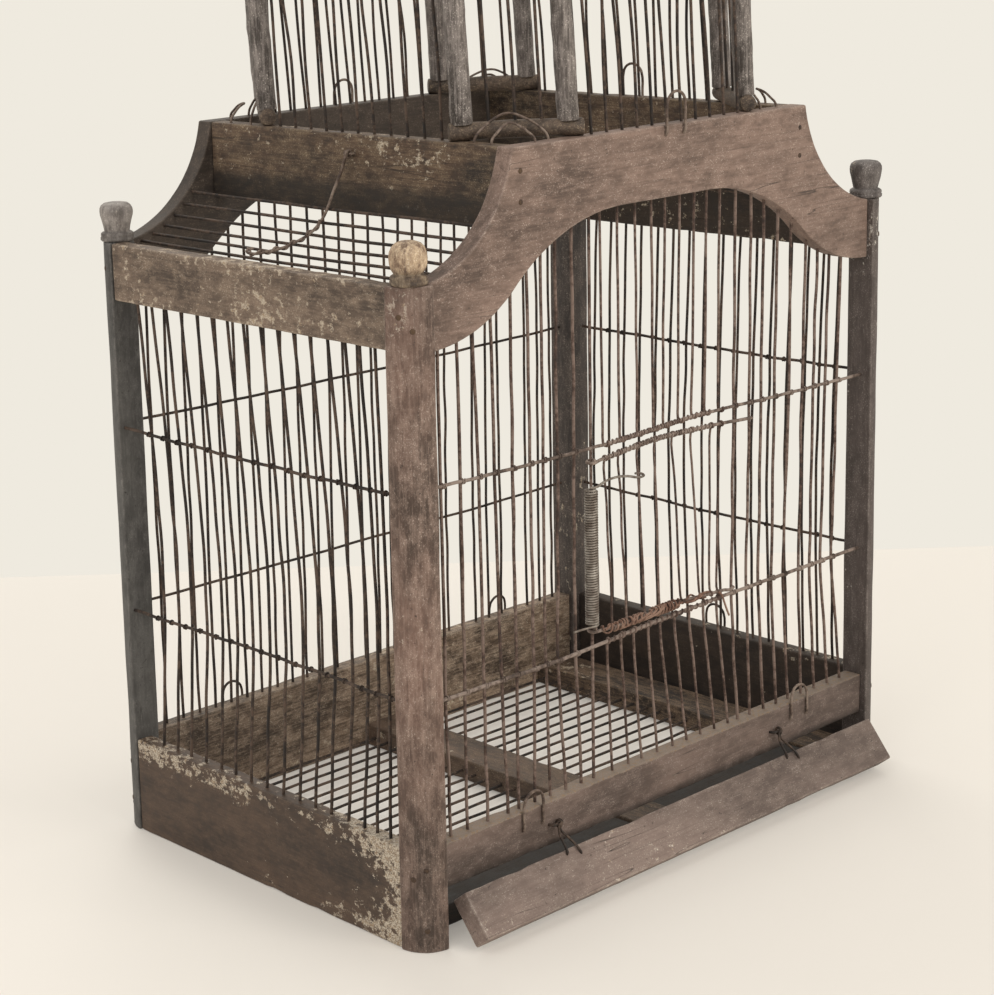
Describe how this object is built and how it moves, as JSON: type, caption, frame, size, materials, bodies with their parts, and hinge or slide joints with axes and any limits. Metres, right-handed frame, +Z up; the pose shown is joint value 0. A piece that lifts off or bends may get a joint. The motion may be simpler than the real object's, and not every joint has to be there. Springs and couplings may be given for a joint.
{
  "type": "wooden bird cage",
  "caption": "Old handmade bird cage of weathered boards and iron wire, with a sprung wire door, a hinged tray flap and a wire roof tower.",
  "frame": {"origin": "centre of the rectangle of the four corner posts, on the floor the cage stands on", "axes": "+X along the long front to the right as seen from the front, +Y to the back away from the door, +Z up"},
  "size_m": [0.4509, 0.3191, 0.67],
  "materials": {
    "turned_wood": "weathered, worn turned wood",
    "board_wood": "weathered sawn boards with flaking old paint",
    "peeled_sticks": "rough peeled sticks",
    "iron_wire": "dark rusty iron wire",
    "spring_wire": "dull grey spring wire",
    "nail_iron": "rusty nail iron"
  },
  "bodies": {
    "cage": {"front_left_post": "turned_wood", "front_right_post": "turned_wood", "back_left_post": "turned_wood", "back_right_post": "turned_wood", "front_left_knob": "turned_wood", "front_right_knob": "turned_wood", "back_left_knob": "turned_wood", "back_right_knob": "turned_wood", "front_rail": "board_wood", "back_board": "board_wood", "left_board": "board_wood", "right_board": "board_wood", "left_top_rail": "board_wood", "right_top_rail": "board_wood", "front_arch": "board_wood", "back_arch": "board_wood", "left_cross_board": "board_wood", "right_cross_board": "board_wood", "left_floor_bar": "board_wood", "right_floor_bar": "board_wood", "floor_wires": "iron_wire", "front_wires": "iron_wire", "back_wires": "iron_wire", "left_wires": "iron_wire", "right_wires": "iron_wire", "front_tie_wires": "iron_wire", "back_tie_wires": "iron_wire", "left_tie_wires": "iron_wire", "right_tie_wires": "iron_wire", "roof_wires": "iron_wire", "flap_staples": "iron_wire", "door_hinge_wire": "iron_wire", "door_spring": "spring_wire", "front_hoops": "iron_wire", "back_hoops": "iron_wire", "right_hoop": "iron_wire", "top_hoops": "iron_wire", "front_left_stick": "peeled_sticks", "front_right_stick": "peeled_sticks", "back_right_stick": "peeled_sticks", "back_left_stick": "peeled_sticks", "upper_sticks": "peeled_sticks", "tower_posts": "peeled_sticks", "tower_wires": "iron_wire", "corner_straps": "iron_wire", "tower_front_rail": "board_wood", "tower_back_rail": "board_wood", "tower_left_rail": "board_wood", "tower_right_rail": "board_wood", "tower_roof_wires": "iron_wire", "hook_staple": "iron_wire", "nails": "nail_iron"},
    "door": {"door_bars": "iron_wire", "door_wires": "iron_wire", "door_binding_wire": "iron_wire", "door_spring_arm": "spring_wire"},
    "flap": {"tray_flap": "board_wood", "flap_links": "iron_wire"},
    "hook": {"roof_hook": "iron_wire"}
  },
  "joints": [
    {"name": "door_hinge", "type": "hinge", "parent": "cage", "child": "door", "pos_m": [-0.0655, -0.136, 0.2145], "axis": [0, 0, -1], "range_deg": [0, 105], "stiffness_Nm_per_rad": 0.01, "springref_deg": -28.65},
    {"name": "flap_hinge", "type": "hinge", "parent": "cage", "child": "flap", "pos_m": [0, -0.146, 0.0495], "axis": [-1, 0, 0], "range_deg": [-38.8, 51.2]},
    {"name": "hook_pivot", "type": "hinge", "parent": "cage", "child": "hook", "pos_m": [-0.1391, -0.006, 0.454], "axis": [0, 1, 0], "range_deg": [0, 100]}
  ]
}
